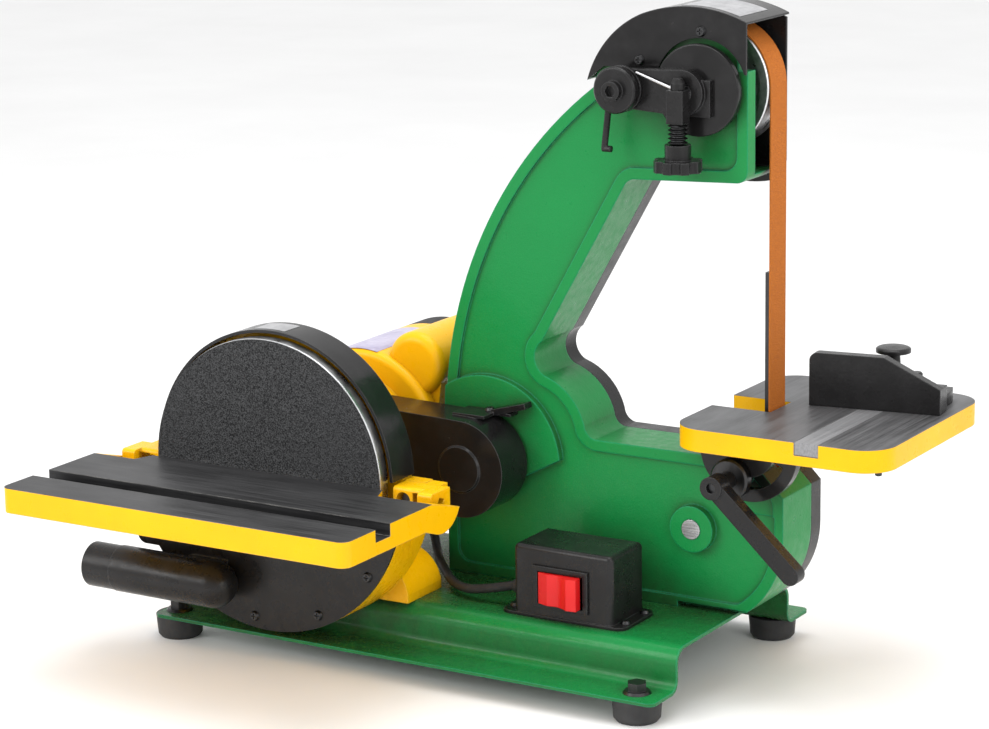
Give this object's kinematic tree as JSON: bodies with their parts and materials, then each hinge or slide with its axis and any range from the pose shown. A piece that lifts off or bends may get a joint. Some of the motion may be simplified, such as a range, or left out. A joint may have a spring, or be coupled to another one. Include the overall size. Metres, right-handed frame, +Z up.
{
  "type": "belt and disc sander",
  "caption": "Bench sander with a narrow vertical belt on a C-shaped arm, a round sanding disc, two tilting slotted tables and a mitre gauge.",
  "frame": {"origin": "centre of the overall footprint, on the surface the feet stand on", "axes": "+X along the machine from the disc towards the belt table, +Y away from the operator, +Z up"},
  "size_m": [0.613, 0.404, 0.4985],
  "materials": {
    "casting_green": "gloss green enamel on cast metal",
    "frame_green": "gloss green enamel on sheet steel",
    "housing_yellow": "gloss yellow enamel",
    "motor_yellow": "satin yellow enamel",
    "table_iron": "machined grey top with yellow painted edges",
    "sheet_black": "gloss black enamel on sheet steel",
    "plastic_black": "moulded black plastic",
    "matte_black": "dark moulded plastic",
    "head_black": "black painted cast head",
    "rocker_red": "glossy red plastic",
    "foot_rubber": "moulded black rubber",
    "cable_black": "smooth black cable sheath",
    "vee_rubber": "black rubber drive belt",
    "belt_grit": "orange-brown abrasive cloth",
    "disc_grit": "dark grey abrasive cloth",
    "wheel_aluminium": "turned aluminium",
    "bright_steel": "ground steel",
    "dark_steel": "blackened steel",
    "motor_core": "stacked steel laminations"
  },
  "bodies": {
    "frame": {"abrasive_belt": "belt_grit", "arm_casting": "casting_green", "base_plate": "frame_green", "cable_glands": "foot_rubber", "capacitor_cover": "motor_yellow", "disc_guard_ring": "sheet_black", "disc_housing": "housing_yellow", "drive_belt": "vee_rubber", "drive_guard": "sheet_black", "dust_cover": "plastic_black", "frame_bolts": "dark_steel", "housing_bolts": "dark_steel", "lower_axle": "bright_steel", "motor_body": "motor_yellow", "motor_cable": "cable_black", "motor_end_shield": "motor_yellow", "motor_fan_cover": "matte_black", "motor_stator": "motor_core", "panel_screws": "dark_steel", "platen": "dark_steel", "platen_bracket": "dark_steel", "rear_cover": "plastic_black", "rubber_feet": "foot_rubber", "shaft_bearings": "bright_steel", "switch_bezel": "plastic_black", "switch_box": "plastic_black", "table_clamp_bolt": "dark_steel", "tension_pivot": "head_black", "top_guard": "sheet_black", "trunnion_bracket_left": "housing_yellow", "trunnion_bracket_right": "housing_yellow"},
    "disc_group": {"motor_shaft": "bright_steel", "sanding_disc": "wheel_aluminium", "abrasive_disc": "disc_grit", "motor_pulley": "wheel_aluminium", "motor_rotor": "motor_core", "cooling_fan": "matte_black"},
    "drive_group": {"drive_shaft": "bright_steel", "drive_wheel": "wheel_aluminium", "driven_pulley": "wheel_aluminium"},
    "lower_wheel_group": {"lower_wheel": "wheel_aluminium", "lower_wheel_bearings": "bright_steel"},
    "tension_group": {"tension_arm": "sheet_black", "hub_plate": "sheet_black", "upper_axle": "bright_steel", "tracking_block": "head_black", "tracking_spring": "bright_steel"},
    "upper_wheel_group": {"upper_wheel": "wheel_aluminium", "upper_wheel_bearings": "bright_steel"},
    "tracking_group": {"tracking_knob": "plastic_black"},
    "belt_table_group": {"belt_table": "table_iron", "table_trunnion": "sheet_black"},
    "lever_group": {"table_lever": "head_black"},
    "mitre_group": {"mitre_bar": "bright_steel"},
    "mitre_head_group": {"mitre_head": "head_black"},
    "mitre_knob_group": {"mitre_knob": "plastic_black"},
    "disc_table_group": {"disc_table": "table_iron"},
    "lock_left_group": {"tilt_lock_left": "dark_steel"},
    "lock_right_group": {"tilt_lock_right": "dark_steel"},
    "rocker_group": {"switch_rocker": "rocker_red"}
  },
  "joints": [
    {"name": "disc_spin", "type": "hinge", "parent": "frame", "child": "disc_group", "pos_m": [-0.1571, 0, 0.1494], "axis": [0, 1, 0], "continuous": true},
    {"name": "drive_wheel_spin", "type": "hinge", "parent": "frame", "child": "drive_group", "pos_m": [-0.04, 0, 0.146], "axis": [0, 1, 0], "continuous": true},
    {"name": "lower_wheel_spin", "type": "hinge", "parent": "frame", "child": "lower_wheel_group", "pos_m": [0.1357, 0, 0.113], "axis": [0, 1, 0], "continuous": true},
    {"name": "tension_swing", "type": "hinge", "parent": "frame", "child": "tension_group", "pos_m": [0.0875, 0, 0.439], "axis": [0, 1, 0], "range_deg": [0, 8]},
    {"name": "upper_wheel_spin", "type": "hinge", "parent": "tension_group", "child": "upper_wheel_group", "pos_m": [0.1357, 0, 0.4385], "axis": [0, 1, 0], "continuous": true},
    {"name": "tracking_turn", "type": "hinge", "parent": "tension_group", "child": "tracking_group", "pos_m": [0.1357, 0.0325, 0.4], "axis": [0, 0, 1], "range_deg": [-180, 180]},
    {"name": "belt_table_tilt", "type": "hinge", "parent": "frame", "child": "belt_table_group", "pos_m": [0.1884, 0, 0.183], "axis": [0, 1, 0], "range_deg": [0, 45]},
    {"name": "clamp_lever_turn", "type": "hinge", "parent": "frame", "child": "lever_group", "pos_m": [0.17647, 0.015, 0.16103], "axis": [0, 1, 0], "range_deg": [-25, 40]},
    {"name": "mitre_slide", "type": "slide", "parent": "belt_table_group", "child": "mitre_group", "axis": [0, 1, 0], "range_m": [-0.09, 0.06]},
    {"name": "mitre_swing", "type": "hinge", "parent": "mitre_group", "child": "mitre_head_group", "pos_m": [0.2485, 0.158, 0.2017], "axis": [0, 0, 1], "range_deg": [-35, 35]},
    {"name": "mitre_knob_turn", "type": "hinge", "parent": "mitre_group", "child": "mitre_knob_group", "pos_m": [0.2485, 0.158, 0.2017], "axis": [0, 0, 1], "range_deg": [0, 180]},
    {"name": "disc_table_tilt", "type": "hinge", "parent": "frame", "child": "disc_table_group", "pos_m": [0, -0.076, 0.1496], "axis": [1, 0, 0], "range_deg": [0, 45]},
    {"name": "tilt_lock_left_turn", "type": "hinge", "parent": "disc_table_group", "child": "lock_left_group", "pos_m": [-0.29, -0.07013, 0.13153], "axis": [1, 0, 0], "range_deg": [0, 180]},
    {"name": "tilt_lock_right_turn", "type": "hinge", "parent": "disc_table_group", "child": "lock_right_group", "pos_m": [-0.02, -0.07013, 0.13153], "axis": [1, 0, 0], "range_deg": [0, 180]},
    {"name": "rocker_press", "type": "hinge", "parent": "frame", "child": "rocker_group", "pos_m": [0.06405, -0.012, 0.0745], "axis": [0, 0, 1], "range_deg": [0, 10]}
  ],
  "couplings": [
    {"joint": "drive_wheel_spin", "follows": "disc_spin", "ratio": 0.9144},
    {"joint": "lower_wheel_spin", "follows": "disc_spin", "ratio": 0.5509},
    {"joint": "upper_wheel_spin", "follows": "disc_spin", "ratio": 0.5509}
  ]
}
